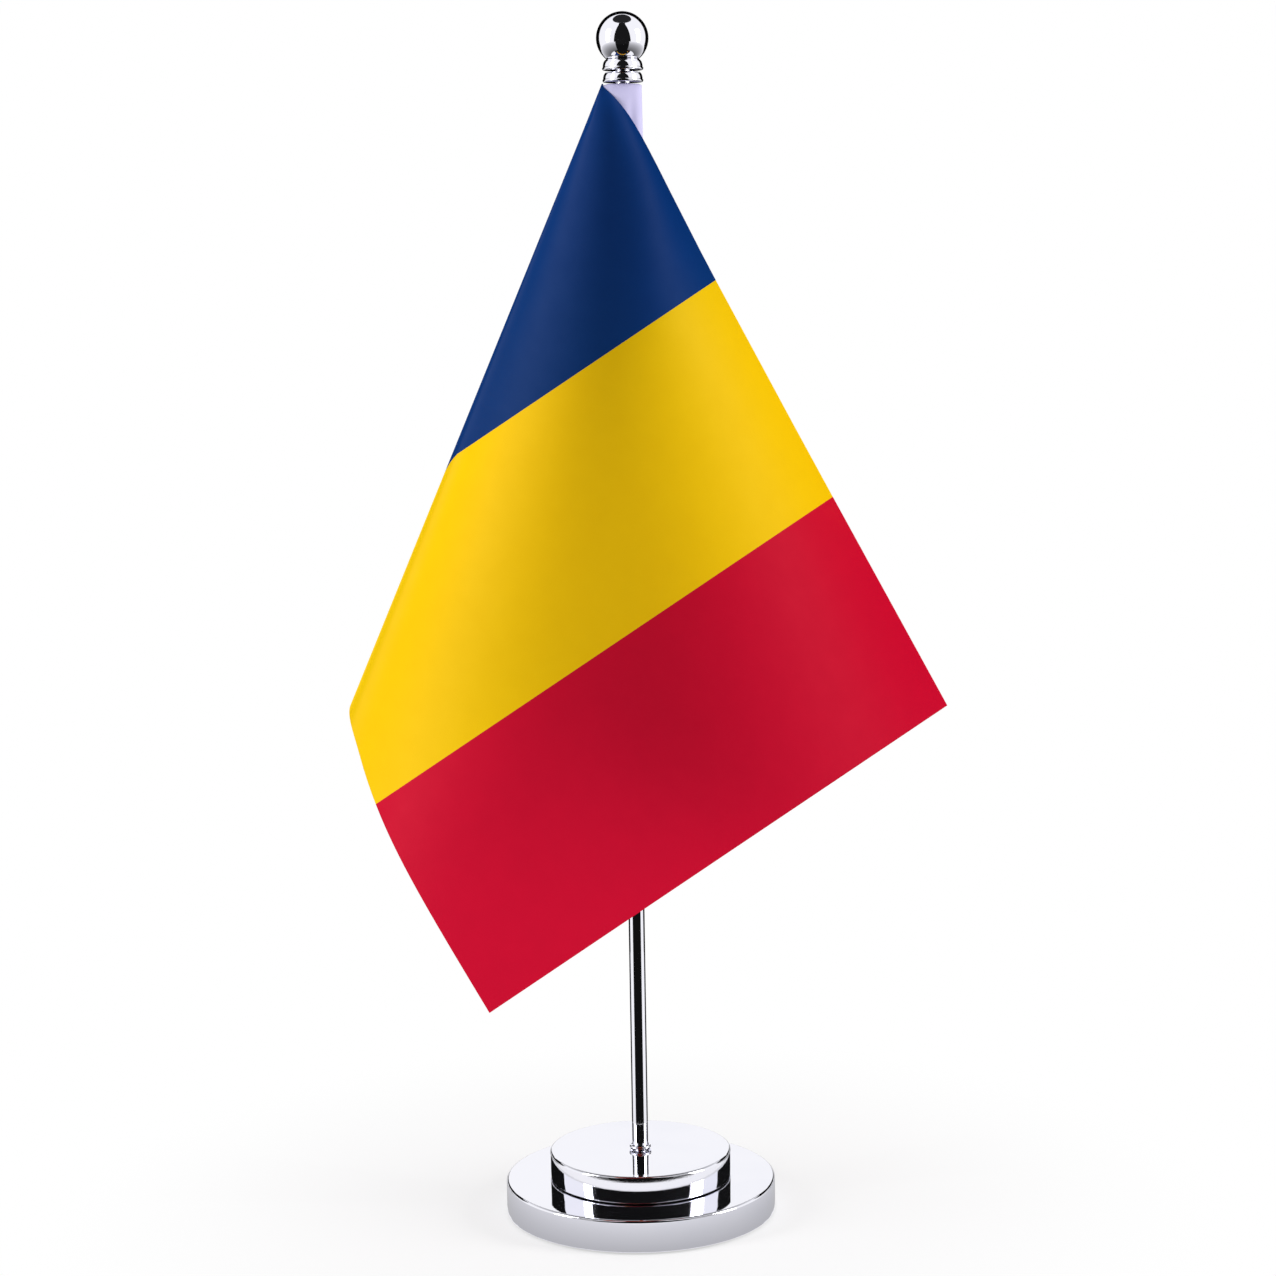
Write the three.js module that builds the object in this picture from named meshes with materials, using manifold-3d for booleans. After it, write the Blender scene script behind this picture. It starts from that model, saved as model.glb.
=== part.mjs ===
// Desk flag stand: a two-tier weighted base, a pole that screws into it, a screw-on ball finial, and a
// satin flag of three bands whose sleeve slips over the pole.
// Millimetres, +Z up. The origin is the centre of the foot pad's underside, on the pole's axis.
// Seen from the front, along +Y, the flag falls forwards and to the right.
import * as THREE from "three";
import { mergeVertices } from "three/addons/utils/BufferGeometryUtils.js";
import Module from "manifold-3d";

const wasm = await Module();
wasm.setup();

// ---- Driving dimensions -------------------------------------------------------------------------

const GAP = 0.3; // clearance kept between neighbouring pieces
const SEGMENTS = { wide: 60, small: 32, hole: 20, hexagon: 6 }; // sides of round and hexagonal shapes
const OVERRUN = 1; // how far a cutting tool runs past the piece it cuts

const PAD = { radius: 32.4, top: 1.4, chamfer: 0.3 };
const LOWER = { radius: 34.6, bottom: 0.6, top: 8.8 };
const UPPER = { radius: 23.25, bottom: 9.1, top: 16 };
const SHEET_METAL = 0.8; // wall of the pressed covers
const EDGE_ROUND = 0.7; // outer edge radius of the covers

// Both ends of the pole carry an M4 thread, drawn at its core radius. The pitch is 0.7 mm.
const POLE = { radius: 2.05, threadRadius: 1.65, tip: 4.3, shankStart: 16.6, shoulder: 284.9, end: 294.6 };
const THREAD_BORE = 1.95; // bores that the M4 thread runs in
const POLE_BORE = 2.4; // plain holes in the upper tier that the pole's end passes
const TIP_BORE = 2.6; // plain holes in the lower tier that the pole's tip stands in
const TIP_CHAMFER = 0.4; // at both ends of the pole
const NUT = { acrossFlats: 7, bottom: 9.2, top: 12.4 };
const SCREW = { count: 3, circle: 13, radius: 1.5, tip: 13, tipChamfer: 0.5 };
const SCREW_HEAD = { radius: 2.8, bottom: 2, depth: 1.7 };
const SCREW_SOCKET = { radius: 1.1, depth: 1.1 };
const WEIGHT_CHAMFER = 0.8;
const FOOT_RING = { outer: 2.8, bottom: 16.3, top: 17 };

const BEAD_CROWN = 0.55; // how far the beads of the finial bulge
const COLLAR = { bottom: 285.9, top: 288.3, radius: 5 };
const NECK = { bottom: 288.8, beadTop: 291.2, rim: 291.4, rimRadius: 4.25, seat: 290.5, radius: 5.05 };
const BALL = { radius: 6.42, wall: 0.8, height: 296.5, mouth: 3.2 };

const SLEEVE = { halfWidth: 4.9, halfDepth: 2.9, wall: 0.38, turn: 14, top: 285.5, bottom: 145.5 };
const STITCHING = { radius: 0.15, around: 145, inset: 1.5 }; // around the sleeve's oval, in degrees
const CLOTH = { hoist: 140, thickness: 0.5, taper: 0.008, seamGap: 0.4, bandGap: 0.3 }; // taper: per mm
const BAND_EDGES = [0, 59.5, 121.2, 177.5]; // along the fly, from the seam
const APEX = new THREE.Vector3(-4.85, -1.7, SLEEVE.top + 0.8);
const APEX_TRIM = 7; // the cloth starts this far from the apex, where its fold would close up

// The cloth hangs as a cone. Straight lines run through it from the apex, and as the line sweeps from
// the seam to the top edge, each stretch bends with a constant strength: 0 is flat, the sign is the side.
const WEDGE_HEADING = 213;
const STRETCHES = [
  { sweep: 33.2, bend: -0.9 },
  { sweep: 2.4, bend: -74 },
  { sweep: 10, bend: 3.7 },
  { sweep: 19, bend: 1.05 },
  { sweep: 25.4, bend: 2.9 },
];
const FOLD = { bend: 20, lines: 10 }; // a stretch that bends more than this gets this many lines
const LINE_SPACING = 3; // sweep between lines elsewhere, in degrees
const SEAM_LINES = [0.25, 0.4, 0.7, 1.2, 2, 3.5, 6]; // further lines close to the seam, in degrees
const SMALL_SWEEP = 8e-4; // lines closer than this, in radians, would make slivers
const SHORTEST_LINE = 0.3;

// ---- Materials ----------------------------------------------------------------------------------

function finish(color, roughness, metalness) {
  return new THREE.MeshStandardMaterial({ color, roughness, metalness });
}

const chrome = () => finish(0xe9e9f2, 0.06, 1);
const brightSteel = () => finish(0xb9bcc2, 0.3, 1);
const castIron = () => finish(0x3b3d40, 0.75, 0.6);
const padRubber = () => finish(0x1b1b1d, 0.95, 0);
const satin = (color) => finish(color, 0.5, 0);

// ---- Shape helpers ------------------------------------------------------------------------------

// A round solid about Z from (radius, height) points. The outline runs up the outside.
function turned(outline, segments = SEGMENTS.small) {
  const points = outline.map(([radius, height]) => new THREE.Vector2(radius, height));
  return new THREE.LatheGeometry(points, segments).rotateX(Math.PI / 2);
}

// Points of a quarter round from one angle to another, in degrees, about (radius, height).
function round(centreRadius, centreHeight, size, from, to, steps = 3) {
  const points = [];
  for (let i = 0; i <= steps; i++) {
    const angle = THREE.MathUtils.degToRad(from + ((to - from) * i) / steps);
    points.push([centreRadius + size * Math.cos(angle), centreHeight + size * Math.sin(angle)]);
  }
  return points;
}

// An upright prism of an outline, between two heights.
function prism(shape, bottom, top) {
  const settings = { depth: top - bottom, bevelEnabled: false, curveSegments: 24 };
  return new THREE.ExtrudeGeometry(shape, settings).translate(0, 0, bottom);
}

// A circle, or with few corners a regular polygon, as an outline.
function circle(radius, corners) {
  const points = [];
  for (let i = 0; i < corners; i++) {
    const angle = (2 * Math.PI * i) / corners;
    points.push(new THREE.Vector2(radius * Math.cos(angle), radius * Math.sin(angle)));
  }
  return new THREE.Shape(points);
}

function solid(geometry) {
  const bare = geometry.clone();
  bare.deleteAttribute("normal");
  bare.deleteAttribute("uv");
  const merged = mergeVertices(bare, 1e-4);
  const vertProperties = Float32Array.from(merged.attributes.position.array);
  const triVerts = Uint32Array.from(merged.index.array);
  return new wasm.Manifold(new wasm.Mesh({ numProp: 3, vertProperties, triVerts }));
}

function geometryOf(body) {
  const mesh = body.getMesh();
  const geometry = new THREE.BufferGeometry();
  geometry.setAttribute("position", new THREE.BufferAttribute(mesh.vertProperties, 3));
  geometry.setIndex(new THREE.BufferAttribute(mesh.triVerts, 1));
  return geometry;
}

function cut(geometry, ...tools) {
  return geometryOf(tools.reduce((body, tool) => body.subtract(solid(tool)), solid(geometry)));
}

const stand = new THREE.Group();

function add(name, geometry, material) {
  const mesh = new THREE.Mesh(geometry, material);
  mesh.name = name;
  stand.add(mesh);
  return mesh;
}

// ---- Base: two pressed covers over cast weights, screwed together from below ----------------------

// The same tool or piece at each of the three screw places.
function atScrews(make) {
  const placed = [];
  for (let i = 0; i < SCREW.count; i++) {
    const angle = Math.PI / 2 + (2 * Math.PI * i) / SCREW.count;
    placed.push(make().translate(SCREW.circle * Math.cos(angle), SCREW.circle * Math.sin(angle), 0));
  }
  return placed;
}

// A pressed cap: a flat top with a hole, a rounded edge and a straight skirt.
function pressedCap({ radius, bottom, top }, holeRadius) {
  const edgeCentre = radius - EDGE_ROUND;
  const innerRadius = radius - SHEET_METAL;
  const outline = [
    [innerRadius, bottom],
    [radius, bottom],
    ...round(edgeCentre, top - EDGE_ROUND, EDGE_ROUND, 0, 90),
    [holeRadius, top],
    [holeRadius, top - SHEET_METAL],
    [innerRadius, top - SHEET_METAL],
    [innerRadius, bottom],
  ];
  return turned(outline, SEGMENTS.wide);
}

// A cast disc with a centre hole and a small chamfer at its top edge.
function castDisc(radius, bottom, top, holeRadius) {
  const outline = [
    [holeRadius, bottom],
    [radius, bottom],
    [radius, top - WEIGHT_CHAMFER],
    [radius - WEIGHT_CHAMFER, top],
    [holeRadius, top],
    [holeRadius, bottom],
  ];
  return turned(outline, SEGMENTS.wide);
}

const weightClearance = 2 * GAP; // round the weights, inside their covers
const lowerWeightTop = LOWER.top - SHEET_METAL - GAP;
const lowerWeightBottom = PAD.top + GAP;
const upperWeightBottom = UPPER.bottom + GAP;
const upperWeightTop = UPPER.top - SHEET_METAL - GAP;

function screwHole(bottom, top) {
  return prism(circle(SCREW.radius + GAP, SEGMENTS.hole), bottom, top);
}

// Clears a countersunk head, from below the weight to the end of its taper.
function countersink() {
  const start = lowerWeightBottom - OVERRUN;
  const end = SCREW_HEAD.bottom + SCREW_HEAD.depth + GAP;
  return turned(
    [
      [0, start],
      [SCREW_HEAD.radius + GAP, start],
      [SCREW_HEAD.radius + GAP, SCREW_HEAD.bottom + GAP],
      [SCREW.radius + GAP, end],
      [0, end],
    ],
    SEGMENTS.hole,
  );
}

function hexagon(acrossFlats) {
  return circle(acrossFlats / Math.sqrt(3), SEGMENTS.hexagon);
}

const padOutline = [
  [0, 0],
  [PAD.radius - PAD.chamfer, 0],
  [PAD.radius, PAD.chamfer],
  [PAD.radius, PAD.top],
  [0, PAD.top],
];
add("foot_pad", turned(padOutline, SEGMENTS.wide), padRubber());

add(
  "base_lower_weight",
  cut(
    castDisc(LOWER.radius - SHEET_METAL - weightClearance, lowerWeightBottom, lowerWeightTop, TIP_BORE),
    ...atScrews(() => screwHole(lowerWeightBottom - OVERRUN, LOWER.top)),
    ...atScrews(countersink),
  ),
  castIron(),
);

add(
  "base_lower_cover",
  cut(pressedCap(LOWER, TIP_BORE), ...atScrews(() => screwHole(lowerWeightTop, LOWER.top + OVERRUN))),
  chrome(),
);

add(
  "base_upper_weight",
  cut(
    castDisc(UPPER.radius - SHEET_METAL - weightClearance, upperWeightBottom, upperWeightTop, POLE_BORE),
    prism(hexagon(NUT.acrossFlats + 2 * GAP), UPPER.bottom, NUT.top + GAP),
    ...atScrews(() => screwHole(LOWER.top, SCREW.tip + GAP)),
  ),
  castIron(),
);

add("base_upper_cover", pressedCap(UPPER, POLE_BORE), chrome());

const nutShape = hexagon(NUT.acrossFlats);
nutShape.holes.push(circle(THREAD_BORE, SEGMENTS.small));
add("captive_nut", prism(nutShape, NUT.bottom, NUT.top), brightSteel());

// A countersunk screw with a hexagon socket in its head, which faces down.
function tierScrew() {
  const { radius, tip, tipChamfer } = SCREW;
  const body = turned(
    [
      [0, SCREW_HEAD.bottom],
      [SCREW_HEAD.radius, SCREW_HEAD.bottom],
      [radius, SCREW_HEAD.bottom + SCREW_HEAD.depth],
      [radius, tip - tipChamfer],
      [radius - tipChamfer, tip],
      [0, tip],
    ],
    SEGMENTS.hole,
  );
  const socket = circle(SCREW_SOCKET.radius, SEGMENTS.hexagon);
  return cut(body, prism(socket, SCREW_HEAD.bottom - OVERRUN, SCREW_HEAD.bottom + SCREW_SOCKET.depth));
}

atScrews(tierScrew).forEach((geometry, i) => add(`tier_screw_${i + 1}`, geometry, brightSteel()));

// ---- Pole, with a threaded end above and below, and the ring at its foot --------------------------

const footRingRound = (FOOT_RING.top - FOOT_RING.bottom) / 2;
add(
  "pole_foot_ring",
  turned(
    [
      [POLE.radius + GAP, FOOT_RING.bottom],
      ...round(FOOT_RING.outer - footRingRound, FOOT_RING.bottom + footRingRound, footRingRound, -90, 90, 5),
      [POLE.radius + GAP, FOOT_RING.top],
      [POLE.radius + GAP, FOOT_RING.bottom],
    ],
  ),
  chrome(),
);

add(
  "pole_rod",
  turned(
    [
      [0, POLE.tip],
      [POLE.threadRadius - TIP_CHAMFER, POLE.tip],
      [POLE.threadRadius, POLE.tip + TIP_CHAMFER],
      [POLE.threadRadius, POLE.shankStart],
      [POLE.radius, POLE.shankStart],
      [POLE.radius, POLE.shoulder],
      [POLE.threadRadius, POLE.shoulder],
      [POLE.threadRadius, POLE.end - TIP_CHAMFER],
      [POLE.threadRadius - TIP_CHAMFER, POLE.end],
      [0, POLE.end],
    ],
  ),
  chrome(),
);

// ---- Finial: a loose collar, and a ball on a tapped neck ------------------------------------------

// The outside of a bead: a low crown between two heights.
function bead(bottom, top, radius) {
  const half = (top - bottom) / 2;
  const steps = 6;
  const points = [];
  for (let i = 0; i <= steps; i++) {
    const angle = -Math.PI / 2 + (Math.PI * i) / steps;
    points.push([radius - BEAD_CROWN * (1 - Math.cos(angle)), bottom + half * (1 + Math.sin(angle))]);
  }
  return points;
}

add(
  "finial_collar",
  turned(
    [
      [THREAD_BORE, COLLAR.bottom],
      ...bead(COLLAR.bottom, COLLAR.top, COLLAR.radius),
      [THREAD_BORE, COLLAR.top],
      [THREAD_BORE, COLLAR.bottom],
    ],
  ),
  chrome(),
);

add(
  "finial_neck",
  turned(
    [
      [THREAD_BORE, NECK.bottom],
      ...bead(NECK.bottom, NECK.beadTop, NECK.radius),
      [NECK.rimRadius, NECK.rim],
      [BALL.mouth, NECK.seat],
      [THREAD_BORE, NECK.seat],
      [THREAD_BORE, NECK.bottom],
    ],
  ),
  chrome(),
);

// The ball is hollow, with a mouth below that the pole's end stands in.
function hollowBall() {
  const inner = BALL.radius - BALL.wall;
  const arc = (size, from, to) => round(0, BALL.height, size, from, to, 12);
  const mouthAngle = (size) => THREE.MathUtils.radToDeg(-Math.acos(BALL.mouth / size));
  const outside = arc(BALL.radius, mouthAngle(BALL.radius), 90);
  const inside = arc(inner, 90, mouthAngle(inner));
  outside.at(-1)[0] = 0;
  inside[0][0] = 0;
  const mouthHeight = outside[0][1];
  const below = mouthHeight - OVERRUN;
  return cut(
    turned([[0, mouthHeight], ...outside]),
    turned([[0, below], [BALL.mouth, below], ...inside.reverse()]),
  );
}

add("finial_ball", hollowBall(), chrome());

// ---- Flag: a satin sleeve round the pole, and the cloth in three bands -----------------------------

function oval(halfWidth, halfDepth) {
  const shape = new THREE.Shape();
  shape.absellipse(0, 0, halfWidth, halfDepth, 0, 2 * Math.PI, false, THREE.MathUtils.degToRad(SLEEVE.turn));
  return shape;
}

// The sleeve is open below, and its top is closed round the thread, on the pole's shoulder.
function sleeve() {
  const { halfWidth, halfDepth, wall, bottom, top } = SLEEVE;
  return cut(
    prism(oval(halfWidth, halfDepth), bottom, top),
    prism(oval(halfWidth - wall, halfDepth - wall), bottom - OVERRUN, top - GAP),
    prism(circle(THREAD_BORE, SEGMENTS.small), top - OVERRUN, top + OVERRUN),
  );
}

add("flag_sleeve", sleeve(), satin(0xd4d0f2));

// The row of stitches that joins sleeve and cloth runs down the sleeve's back, near the seam.
function stitching() {
  const { halfWidth, halfDepth, turn, bottom } = SLEEVE;
  const around = THREE.MathUtils.degToRad(STITCHING.around);
  const out = new THREE.Vector2(Math.cos(around) / halfWidth, Math.sin(around) / halfDepth).normalize();
  const place = new THREE.Vector2(halfWidth * Math.cos(around), halfDepth * Math.sin(around))
    .addScaledVector(out, STITCHING.radius + GAP)
    .rotateAround(new THREE.Vector2(), THREE.MathUtils.degToRad(turn));
  const thread = circle(STITCHING.radius, SEGMENTS.hexagon);
  const row = prism(thread, bottom + STITCHING.inset, SLEEVE.top - STITCHING.inset);
  return row.translate(place.x, place.y, 0);
}

add("sleeve_stitching", stitching(), satin(0xe6e4f6));

// Direction of the cloth's straight line at a sweep angle, in radians, and the cloth's face normal there.
function lineAt(angle) {
  const heading = THREE.MathUtils.degToRad(WEDGE_HEADING);
  const line = new THREE.Vector3(0, 0, -1);
  const face = new THREE.Vector3();
  const along = new THREE.Vector3(Math.cos(heading), Math.sin(heading), 0);
  face.crossVectors(line, along);
  let left = angle;
  for (const { sweep, bend } of STRETCHES) {
    const part = Math.min(left, THREE.MathUtils.degToRad(sweep));
    const axis = face.clone().addScaledVector(line, bend);
    const turn = part * axis.length();
    axis.normalize();
    line.applyAxisAngle(axis, turn);
    face.applyAxisAngle(axis, turn);
    left -= part;
  }
  return { line, face };
}

// Sweep angles at which the cloth's solids have a line: fine at the seam and in the fold.
function sweepAngles(corners) {
  const angles = [...corners];
  for (const nearSeam of SEAM_LINES) {
    angles.push(THREE.MathUtils.degToRad(nearSeam));
  }
  let start = 0;
  for (const { sweep, bend } of STRETCHES) {
    const count = Math.abs(bend) > FOLD.bend ? FOLD.lines : Math.ceil(sweep / LINE_SPACING);
    for (let i = 0; i <= count; i++) {
      angles.push(THREE.MathUtils.degToRad(start + (sweep * i) / count));
    }
    start += sweep;
  }
  return angles.sort((a, b) => a - b);
}

// One band: the part of the cloth between two distances from the seam, as a closed solid. Each line of
// the cone runs from the band's near side to its far side, and the cloth is thinner close to the apex.
function band(fromSeam, toSeam) {
  const lift = APEX.z - SLEEVE.top;
  const foot = CLOTH.hoist + lift;
  const near = (angle) => Math.max(fromSeam / Math.sin(angle), lift / Math.cos(angle), APEX_TRIM);
  const far = (angle) => Math.min(toSeam / Math.sin(angle), foot / Math.cos(angle));
  const firstAngle = Math.atan2(fromSeam, foot) + SMALL_SWEEP;
  const lastAngle = Math.atan2(toSeam, lift) - SMALL_SWEEP;
  const corners = [Math.atan2(toSeam, foot), Math.atan2(fromSeam, lift)];
  const lines = [];
  let previous = 0;
  for (const angle of sweepAngles([firstAngle, ...corners, lastAngle])) {
    const isNew = angle <= lastAngle && angle - previous >= SMALL_SWEEP;
    if (isNew && far(angle) - near(angle) >= SHORTEST_LINE) {
      previous = angle;
      lines.push({ ...lineAt(angle), near: near(angle), far: far(angle) });
    }
  }
  const positions = [];
  for (const { line, face, near: start, far: end } of lines) {
    for (const [distance, side] of [[start, 1], [end, 1], [end, -1], [start, -1]]) {
      const half = Math.min(CLOTH.thickness, CLOTH.taper * distance) / 2;
      const corner = APEX.clone().addScaledVector(line, distance).addScaledVector(face, side * half);
      positions.push(...corner.toArray());
    }
  }
  const index = [];
  for (let i = 0; i + 1 < lines.length; i++) {
    for (let k = 0; k < 4; k++) {
      const a = 4 * i + k;
      const b = 4 * i + ((k + 1) % 4);
      index.push(a, b, a + 4, b, b + 4, a + 4);
    }
  }
  const last = 4 * (lines.length - 1);
  index.push(0, 2, 1, 0, 3, 2, last, last + 1, last + 2, last, last + 2, last + 3);
  const geometry = new THREE.BufferGeometry();
  geometry.setAttribute("position", new THREE.Float32BufferAttribute(positions, 3));
  return geometry.setIndex(index);
}

const bandColors = { blue: 0x0a2f74, yellow: 0xf5c900, red: 0xc40d2b };
Object.entries(bandColors).forEach(([name, color], i) => {
  const from = BAND_EDGES[i] + (i === 0 ? CLOTH.seamGap : CLOTH.bandGap / 2);
  const to = BAND_EDGES[i + 1] - (i === 2 ? 0 : CLOTH.bandGap / 2);
  add(`flag_band_${name}`, band(from, to), satin(color));
});

export default stand;
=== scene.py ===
# Desk flag stand: a satin flag of three bands on a chromed pole, with a ball finial and a two-tier base.
# Metres, +Z up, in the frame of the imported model. The sections follow the stand as it is put together:
# camera and studio first, then the base from below, the pole, the finial, the sleeve and the cloth.
import math
import bpy
import numpy as np
from mathutils import Matrix, Vector


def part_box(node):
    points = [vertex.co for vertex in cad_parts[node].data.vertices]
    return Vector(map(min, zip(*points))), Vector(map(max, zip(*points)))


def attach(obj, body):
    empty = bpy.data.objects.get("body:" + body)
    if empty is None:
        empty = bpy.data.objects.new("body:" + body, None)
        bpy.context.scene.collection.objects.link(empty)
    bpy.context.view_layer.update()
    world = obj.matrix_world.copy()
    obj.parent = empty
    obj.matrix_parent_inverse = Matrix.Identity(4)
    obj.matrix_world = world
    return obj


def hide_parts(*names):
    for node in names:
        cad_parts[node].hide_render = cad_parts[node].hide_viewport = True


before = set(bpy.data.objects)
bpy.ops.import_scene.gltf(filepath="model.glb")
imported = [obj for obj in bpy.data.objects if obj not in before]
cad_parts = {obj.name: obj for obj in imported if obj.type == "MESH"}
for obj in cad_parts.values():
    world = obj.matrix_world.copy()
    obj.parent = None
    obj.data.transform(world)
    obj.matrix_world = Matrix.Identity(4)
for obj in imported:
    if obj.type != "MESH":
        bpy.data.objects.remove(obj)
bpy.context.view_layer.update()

# ---- Camera ---------------------------------------------------------------------------------------
# A long lens straight in front of the stand, a little lower than the ball and well above the base.
# It looks slightly down and is held a little askew, so the pole leans to the left at the top.

MM = 0.001
LENS = 76.88
CAMERA_PLACE = Vector((-0.985, -678.7, 241.3)) * MM
CAMERA_DOWN = math.radians(7.77)
CAMERA_ASIDE = math.radians(0.21)
CAMERA_ROLL = math.radians(-0.92)

forward = Vector((
    math.sin(CAMERA_ASIDE) * math.cos(CAMERA_DOWN),
    math.cos(CAMERA_ASIDE) * math.cos(CAMERA_DOWN),
    -math.sin(CAMERA_DOWN),
))
level_right = forward.cross(Vector((0, 0, 1))).normalized()
level_up = level_right.cross(forward)
right = level_right * math.cos(CAMERA_ROLL) + level_up * math.sin(CAMERA_ROLL)
up = level_up * math.cos(CAMERA_ROLL) - level_right * math.sin(CAMERA_ROLL)

camera = bpy.data.objects.new("camera", bpy.data.cameras.new("camera"))
camera.data.lens = LENS
camera.data.clip_start = 0.01
camera_turn = Matrix((right, up, -forward)).transposed().to_4x4()
camera.matrix_world = Matrix.Translation(CAMERA_PLACE) @ camera_turn
bpy.context.scene.collection.objects.link(camera)
bpy.context.scene.camera = camera
bpy.context.scene.view_settings.view_transform = "Standard"

# ---- Node wiring and the floor --------------------------------------------------------------------
# A white table that fades into a white room, so that no horizon shows behind the stand.
# The table is lit near the base, where it takes the soft shadow, and glows evenly further out.


class Wire:
    """One output socket of a node tree. Arithmetic on wires and numbers adds Math nodes."""

    def __init__(self, tree, socket=None):
        self.tree = tree
        self.socket = socket

    def node(self, kind, settings=(), values=(), output=0):
        """A new node: its settings are set first, then its sockets get values or wires."""
        made = self.tree.nodes.new(kind)
        for name, setting in dict(settings).items():
            setattr(made, name, setting)
        for name, value in dict(values).items():
            if isinstance(value, Wire):
                self.tree.links.new(value.socket, made.inputs[name])
            else:
                made.inputs[name].default_value = value
        return Wire(self.tree, made.outputs[output] if len(made.outputs) else None)

    def math(self, operation, *terms):
        return self.node("ShaderNodeMath", {"operation": operation}, dict(enumerate(terms)))

    def __add__(self, other):
        return self.math("ADD", self, other)

    def __mul__(self, other):
        return self.math("MULTIPLY", self, other)

    def __sub__(self, other):
        return self.math("SUBTRACT", self, other)

    def __rsub__(self, other):
        return self.math("SUBTRACT", other, self)

    def __truediv__(self, other):
        return self.math("DIVIDE", self, other)

    def __pow__(self, other):
        return self.math("POWER", self, other)

    __radd__ = __add__
    __rmul__ = __mul__


def new_material(name):
    """An empty material with its output node, and a wire to build on."""
    material = bpy.data.materials.new(name)
    material.use_nodes = True
    material.node_tree.nodes.clear()
    return material, Wire(material.node_tree)


def finish_surface(wire, surface):
    """Sends a shader to the material's output."""
    wire.node("ShaderNodeOutputMaterial", {}, {"Surface": surface})


def mix_colour(wire, amount, first, second):
    """Two colours mixed by an amount. The Mix node's colour sockets are its seventh and eighth."""
    values = {0: amount, 6: first, 7: second}
    return wire.node("ShaderNodeMix", {"data_type": "RGBA"}, values, 2)


def grid_faces(rows, columns, round_rows=False, round_columns=False):
    """Quads between neighbouring points of a rows x columns grid, numbered row by row. A round grid also
    joins its last row or column to its first."""
    r = np.arange(rows if round_rows else rows - 1)[:, None]
    c = np.arange(columns if round_columns else columns - 1)[None, :]
    below = (r + 1) % rows
    beside = (c + 1) % columns
    corners = [r * columns + c, r * columns + beside, below * columns + beside, below * columns + c]
    return np.stack(np.broadcast_arrays(*corners), -1).reshape(-1, 4)


def new_piece(name, points, faces, material, sharp=None):
    """A mesh object at the origin from an (n, 3) array of points in metres and lists of faces."""
    mesh = bpy.data.meshes.new(name)
    corners = np.asarray(points, float).reshape(-1, 3).tolist()
    mesh.from_pydata(corners, [], [list(map(int, face)) for face in faces])
    mesh.polygons.foreach_set("use_smooth", np.ones(len(mesh.polygons), bool))
    if sharp is not None:
        mesh.set_sharp_from_angle(angle=math.radians(sharp))
    mesh.materials.append(material)
    mesh.update()
    piece = bpy.data.objects.new(name, mesh)
    bpy.context.scene.collection.objects.link(piece)
    return piece


FLOOR_RADIUS = 15.0
FLOOR_DROP = 0.05 * MM
FLOOR_LIT = 0.045
FLOOR_WHITE = 0.16
FLOOR_GLOW = 0.55
ROOM_LEVEL = 1.0
ROOM_LIGHT = 0.6

floor_material, wire = new_material("white_table")
place = wire.node("ShaderNodeTexCoord", {}, {}, 3)
distance = wire.node("ShaderNodeVectorMath", {"operation": "LENGTH"}, {0: place}, 1)
span = {"From Min": FLOOR_LIT, "From Max": FLOOR_WHITE, "To Min": FLOOR_GLOW}
glow = wire.node("ShaderNodeMapRange", {"interpolation_type": "SMOOTHSTEP"}, {0: distance, **span})
lit = wire.node("ShaderNodeBsdfDiffuse", {}, {"Color": (0.93, 0.93, 0.94, 1)})
white = wire.node("ShaderNodeEmission", {}, {"Color": (1, 1, 1, 1), "Strength": ROOM_LEVEL})
finish_surface(wire, wire.node("ShaderNodeMixShader", {}, {0: glow, 1: lit, 2: white}))

rings = np.array([0.0, 0.05, 0.1, 0.2, 0.4, 1.0, 4.0, FLOOR_RADIUS])
turn = np.linspace(0, 2 * np.pi, 96, endpoint=False)
floor_points = np.stack([
    np.outer(rings, np.sin(turn)),
    np.outer(rings, -np.cos(turn)),
    np.full((len(rings), len(turn)), -FLOOR_DROP),
], -1)
floor_faces = grid_faces(len(rings), len(turn), round_columns=True)
floor = new_piece("floor", floor_points, floor_faces, floor_material)
floor.visible_diffuse = False

# ---- Studio: room light, two soft boxes and the cards that chrome mirrors ---------------------------
# The room is white. Soft boxes stand left and right of the camera. Dark and grey cards, which only
# mirrors see, give the chrome its dark stripes: each is a piece of a wall or of the table. The two grey
# rings, darker towards the pole, are painted shade: one round the foot on the table, one below the ball.

world = bpy.data.worlds.new("white_room")
bpy.context.scene.world = world
world.use_nodes = True
world.node_tree.nodes.clear()
wire = Wire(world.node_tree)
scattered = wire.node("ShaderNodeLightPath", {}, {}, 2)
strength = ROOM_LEVEL + scattered * (ROOM_LIGHT - ROOM_LEVEL)
room = wire.node("ShaderNodeBackground", {}, {"Color": (1, 1, 1, 1), "Strength": strength})
wire.node("ShaderNodeOutputWorld", {}, {"Surface": room})


def soft_box(name, place, target, width, height, watts, colour):
    """A rectangular area light at a place, facing a target."""
    light = bpy.data.lights.new(name, "AREA")
    light.shape = "RECTANGLE"
    light.size = width
    light.size_y = height
    light.energy = watts
    light.color = colour
    lamp = bpy.data.objects.new(name, light)
    towards = Vector(target) - Vector(place)
    lamp.matrix_world = Matrix.Translation(place) @ towards.to_track_quat("-Z", "Y").to_matrix().to_4x4()
    bpy.context.scene.collection.objects.link(lamp)


FLAG_MIDDLE = (0.0, -0.05, 0.19)
soft_box("right_box", (1.07, -0.28, 0.42), FLAG_MIDDLE, 0.35, 0.9, 10.0, (1.0, 0.99, 0.98))
soft_box("left_box", (-1.0, -0.42, 0.45), FLAG_MIDDLE, 0.35, 0.9, 7.2, (0.98, 0.99, 1.0))


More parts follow.
